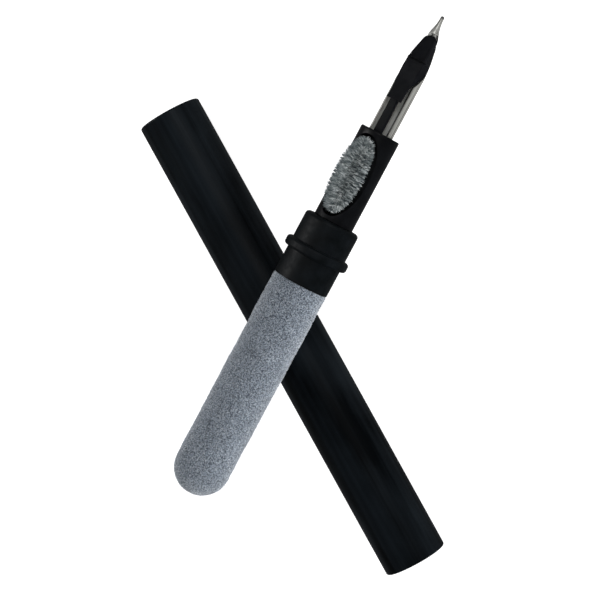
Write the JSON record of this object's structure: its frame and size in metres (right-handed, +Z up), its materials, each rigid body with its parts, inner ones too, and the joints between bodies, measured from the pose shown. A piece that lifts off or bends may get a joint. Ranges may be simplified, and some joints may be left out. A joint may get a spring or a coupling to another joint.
{
  "type": "lens and earpiece cleaning pen",
  "caption": "Slim cleaning pen with a flocked foam sponge, an oval side brush and a pointed steel nib, lying across its two black tube caps.",
  "frame": {"origin": "on the floor, at the middle of the whole object's box, with the pen lying across its two caps", "axes": "+X along the caps towards the closed end of the nib's cap, +Z up, +Y to the side that the pen's nib points to"},
  "size_m": [0.1156, 0.0956, 0.0367],
  "materials": {
    "cap_plastic": "satin",
    "core_plastic": "satin",
    "sponge_foam": "matte",
    "flock": "matte",
    "collar_plastic": "matte",
    "neck_plastic": "satin",
    "brush_block": "matte",
    "bristle": "satin",
    "feed_plastic": "satin",
    "nib_steel": "polished"
  },
  "bodies": {
    "sponge_cover": {"sponge_cap": "cap_plastic"},
    "nib_cover": {"nib_cap": "cap_plastic"},
    "pen": {"sponge_core": "core_plastic", "sponge_foam": "sponge_foam", "flock_sleeve": "flock", "collar": "collar_plastic", "neck_barrel": "neck_plastic", "brush_base": "brush_block", "brush_bristles": "bristle", "nib_feed": "feed_plastic", "steel_nib": "nib_steel"}
  },
  "joints": [
    {"name": "pen_lift", "type": "slide", "parent": "sponge_cover", "child": "pen", "axis": [0, 0, 1], "range_m": [0, 0.12]},
    {"name": "caps_apart", "type": "slide", "parent": "sponge_cover", "child": "nib_cover", "axis": [1, 0, 0], "range_m": [0, 0.12]}
  ]
}
